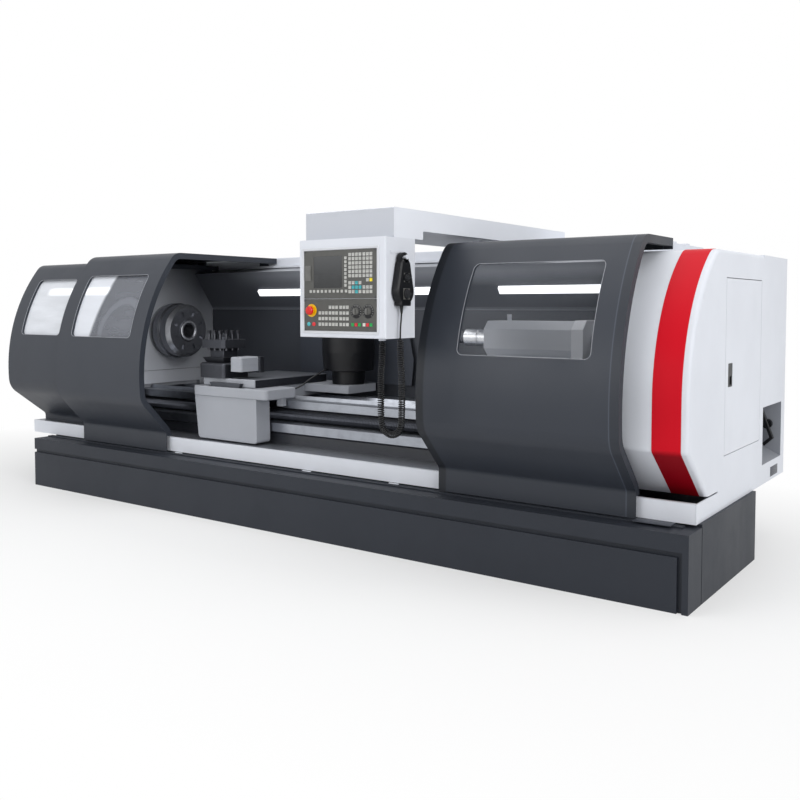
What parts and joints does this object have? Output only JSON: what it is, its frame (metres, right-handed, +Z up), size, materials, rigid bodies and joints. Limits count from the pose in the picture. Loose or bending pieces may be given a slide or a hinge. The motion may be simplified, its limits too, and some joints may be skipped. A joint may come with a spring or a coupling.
{
  "type": "turning lathe",
  "caption": "Long flat-bed turning lathe in an arched enclosure with sliding doors, driven carriage and tool turret, tailstock, and an overhead control beam.",
  "frame": {"origin": "on the floor under the middle of the whole machine, halfway along its length and halfway between the emergency stop in front and the back wall", "axes": "+X along the bed from the headstock to the tailstock, +Y to the back, +Z up"},
  "size_m": [4.508, 1.934, 1.585],
  "materials": {
    "base_paint": "fine textured dark charcoal paint",
    "charcoal_paint": "satin charcoal paint",
    "light_grey_paint": "satin light grey paint",
    "inner_grey_paint": "satin mid grey paint",
    "casting_paint": "satin grey casting paint",
    "white_paint": "satin off-white paint",
    "red_paint": "gloss red film",
    "tray_steel": "wiped sheet steel",
    "bed_iron": "ground ways on painted iron",
    "ground_steel": "ground",
    "dark_steel": "blackened and oiled",
    "tool_steel": "ground tool steel",
    "wheel_chrome": "polished rim",
    "motor_black": "satin black",
    "belt_rubber": "matt",
    "hose_rubber": "matt",
    "cord_black": "satin",
    "window_pane": "clear, slightly cloudy",
    "lamp_lens": "milky lens",
    "bell_black": "satin black",
    "guard_grey": "satin grey",
    "black_plastic": "fine grain",
    "bezel_grey": "satin",
    "panel_grey": "fine grain film",
    "screen_black": "dark display",
    "key_grey": "rubber-like keys",
    "stop_yellow": "gloss",
    "stop_red": "gloss",
    "dial_grey": "fine grain",
    "knob_grey": "fine grain"
  },
  "bodies": {
    "machine": {"base_cabinet": "base_paint", "front_ledge": "light_grey_paint", "chip_tray": "tray_steel", "bed": "bed_iron", "feed_motor": "motor_black", "headstock_casting": "casting_paint", "headstock_bulkhead": "inner_grey_paint", "main_motor": "motor_black", "drive_belt": "belt_rubber", "headstock_cover": "charcoal_paint", "headstock_pane": "window_pane", "end_cover": "white_paint", "end_cover_band": "red_paint", "rear_cabinet": "white_paint", "rear_hood": "white_paint", "splash_guard": "inner_grey_paint", "light_canopy": "inner_grey_paint", "work_lamps": "lamp_lens"},
    "main_spindle": {"spindle": "ground_steel", "spindle_drum": "dark_steel"},
    "motor_drive_pulley": {"motor_pulley": "ground_steel"},
    "feed_screw": {"lead_screw": "ground_steel"},
    "carriage": {"saddle": "light_grey_paint", "apron": "light_grey_paint", "cross_drive_housing": "bell_black", "carriage_guard": "guard_grey", "carriage_hose": "hose_rubber"},
    "cross_slide_body": {"cross_slide": "light_grey_paint", "tool_post_base": "dark_steel", "tool_post_motor": "light_grey_paint"},
    "turret": {"tool_turret": "dark_steel", "turret_bolts": "tool_steel"},
    "tailstock": {"tailstock_base": "light_grey_paint", "tailstock_body": "light_grey_paint"},
    "tailstock_wheel": {"handwheel": "wheel_chrome"},
    "tailstock_quill": {"quill": "ground_steel"},
    "center": {"live_center": "tool_steel"},
    "left_sliding_door": {"left_door": "charcoal_paint", "left_door_pane": "window_pane"},
    "right_sliding_door": {"right_door": "charcoal_paint", "right_door_pane": "window_pane"},
    "side_door": {"service_door": "white_paint"},
    "side_latch": {"service_latch": "black_plastic"},
    "main_switch": {"main_switch_lever": "black_plastic"},
    "control_gantry": {"control_beam": "white_paint", "control_box": "white_paint", "panel_bezel": "bezel_grey", "panel_plates": "panel_grey", "screen": "screen_black", "panel_keys": "key_grey", "e_stop_collar": "stop_yellow", "pendant_body": "black_plastic", "pendant_cable": "cord_black", "pendant_coil": "cord_black"},
    "stop_button": {"e_stop_button": "stop_red"},
    "dial_left": {"left_dial": "dial_grey"},
    "dial_right": {"right_dial": "dial_grey"},
    "card_flap": {"memory_flap": "dial_grey"},
    "knob_lower": {"pendant_knob_lower": "knob_grey"},
    "knob_upper": {"pendant_knob_upper": "knob_grey"}
  },
  "joints": [
    {"name": "spindle_turn", "type": "hinge", "parent": "machine", "child": "main_spindle", "pos_m": [-1.446, 0.067, 1.01], "axis": [1, 0, 0], "continuous": true},
    {"name": "motor_pulley_turn", "type": "hinge", "parent": "machine", "child": "motor_drive_pulley", "pos_m": [-2.101, 0.497, 0.8], "axis": [1, 0, 0], "continuous": true},
    {"name": "feed_screw_turn", "type": "hinge", "parent": "machine", "child": "feed_screw", "pos_m": [-0.046, -0.227, 0.56], "axis": [1, 0, 0], "range_deg": [-18719.8, 17999.8]},
    {"name": "carriage_slide", "type": "slide", "parent": "machine", "child": "carriage", "axis": [1, 0, 0], "range_m": [-0.52, 0.5]},
    {"name": "cross_slide_travel", "type": "slide", "parent": "carriage", "child": "cross_slide_body", "axis": [0, 1, 0], "range_m": [-0.04, 0.14]},
    {"name": "turret_index", "type": "hinge", "parent": "cross_slide_body", "child": "turret", "pos_m": [-0.564, -0.271, 0.95], "axis": [0, 0, 1], "continuous": true},
    {"name": "tailstock_slide", "type": "slide", "parent": "machine", "child": "tailstock", "axis": [1, 0, 0], "range_m": [-0.4, 0.14]},
    {"name": "handwheel_turn", "type": "hinge", "parent": "tailstock", "child": "tailstock_wheel", "pos_m": [1.634, 0.067, 1.01], "axis": [1, 0, 0], "range_deg": [-7199.9, 4320]},
    {"name": "quill_slide", "type": "slide", "parent": "tailstock", "child": "tailstock_quill", "axis": [1, 0, 0], "range_m": [-0.1, 0.06]},
    {"name": "center_turn", "type": "hinge", "parent": "tailstock_quill", "child": "center", "pos_m": [0.854, 0.067, 1.01], "axis": [1, 0, 0], "continuous": true},
    {"name": "left_door_slide", "type": "slide", "parent": "machine", "child": "left_sliding_door", "axis": [1, 0, 0], "range_m": [-0.59, 0.9]},
    {"name": "right_door_slide", "type": "slide", "parent": "machine", "child": "right_sliding_door", "axis": [1, 0, 0], "range_m": [-0.9, 0.22]},
    {"name": "service_door_turn", "type": "hinge", "parent": "machine", "child": "side_door", "pos_m": [2.239, 0.4805, 0.916], "axis": [0, 0, 1], "range_deg": [0, 110]},
    {"name": "service_latch_pull", "type": "hinge", "parent": "side_door", "child": "side_latch", "pos_m": [2.237, -0.007, 0.927], "axis": [0, -1, 0], "range_deg": [0, 40], "stiffness_Nm_per_rad": 0.05, "springref_deg": -28.65},
    {"name": "main_switch_turn", "type": "hinge", "parent": "machine", "child": "main_switch", "pos_m": [2.176, 0.887, 0.572], "axis": [0, -1, 0], "range_deg": [-14, 18]},
    {"name": "gantry_slide", "type": "slide", "parent": "machine", "child": "control_gantry", "axis": [1, 0, 0], "range_m": [-1.5, 0.6]},
    {"name": "stop_press", "type": "slide", "parent": "control_gantry", "child": "stop_button", "axis": [0, 1, 0], "range_m": [0, 0.004]},
    {"name": "left_dial_turn", "type": "hinge", "parent": "control_gantry", "child": "dial_left", "pos_m": [0.957, -0.943, 1.149], "axis": [0, -1, 0], "range_deg": [-135, 135]},
    {"name": "right_dial_turn", "type": "hinge", "parent": "control_gantry", "child": "dial_right", "pos_m": [1.0215, -0.943, 1.149], "axis": [0, -1, 0], "range_deg": [-135, 135]},
    {"name": "card_flap_turn", "type": "hinge", "parent": "control_gantry", "child": "card_flap", "pos_m": [0.673, -0.9445, 1.314], "axis": [0, 0, -1], "range_deg": [0, 100]},
    {"name": "lower_knob_turn", "type": "hinge", "parent": "control_gantry", "child": "knob_lower", "pos_m": [1.151, -0.844, 1.222], "axis": [1, 0, 0], "range_deg": [-120, 120]},
    {"name": "upper_knob_turn", "type": "hinge", "parent": "control_gantry", "child": "knob_upper", "pos_m": [1.151, -0.844, 1.29], "axis": [1, 0, 0], "range_deg": [-120, 120]}
  ],
  "couplings": [
    {"joint": "motor_pulley_turn", "follows": "spindle_turn", "ratio": 1.6667},
    {"joint": "carriage_slide", "follows": "feed_screw_turn", "m_per_rad": 0.0015915},
    {"joint": "quill_slide", "follows": "handwheel_turn", "m_per_rad": 0.00079577}
  ]
}
